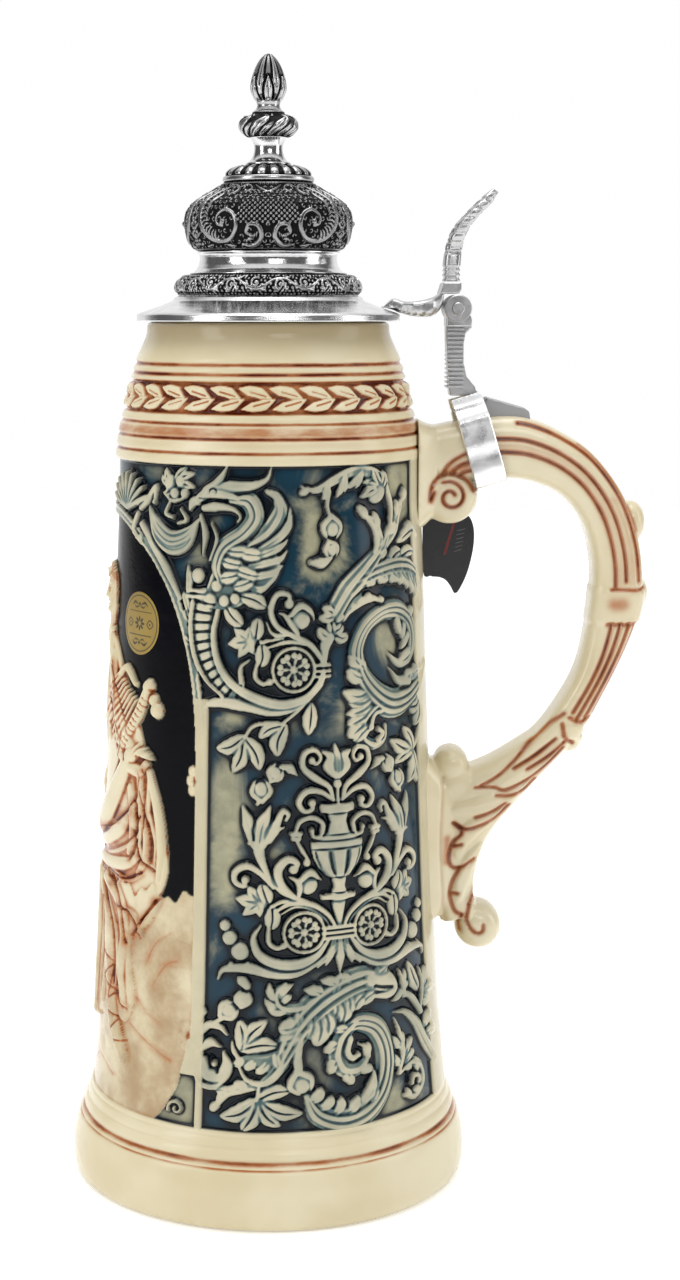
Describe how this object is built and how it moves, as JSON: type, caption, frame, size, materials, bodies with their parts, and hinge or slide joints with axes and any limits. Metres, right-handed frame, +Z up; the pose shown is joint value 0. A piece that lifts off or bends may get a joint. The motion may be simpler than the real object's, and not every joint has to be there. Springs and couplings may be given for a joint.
{
  "type": "lidded beer stein",
  "caption": "Tall relief stoneware beer stein with a bowed scroll handle and a hinged pewter lid with a thumblift and a finial.",
  "frame": {"origin": "centre of the flat underside", "axes": "+Z up along the mug's axis, +X towards the handle, so the front panel faces -X; the lid's hinge pin lies along Y"},
  "size_m": [0.232, 0.1624, 0.45],
  "materials": {
    "glaze": "glossy cream glaze with brown and blue stain in the relief",
    "bright_pewter": "polished, with fine turning lines",
    "dark_pewter": "antiqued, dark in the chasing and bright on the high spots",
    "cast_pewter": "satin casting",
    "steel": "satin",
    "foil": "satin gold foil with black print",
    "card": "gloss laminated"
  },
  "bodies": {
    "mug": {"stein_body": "glaze", "handle": "glaze", "handle_strap": "bright_pewter", "handle_saddle": "cast_pewter", "hinge_tang": "cast_pewter", "hinge_pin": "steel", "label_sticker": "foil", "hang_tag": "card"},
    "lid": {"lid_brim": "bright_pewter", "scroll_ring": "dark_pewter", "lid_collar": "bright_pewter", "lid_dome": "dark_pewter", "fluted_cap": "dark_pewter", "finial_stem": "bright_pewter", "finial_knop": "dark_pewter", "finial_bud": "dark_pewter", "finial_stud": "steel", "finial_nut": "steel", "lid_arm": "cast_pewter", "thumblift": "cast_pewter"}
  },
  "joints": [
    {"name": "lid_hinge", "type": "hinge", "parent": "mug", "child": "lid", "pos_m": [0.0746, 0, 0.3521], "axis": [0, 1, 0], "range_deg": [0, 105]}
  ]
}
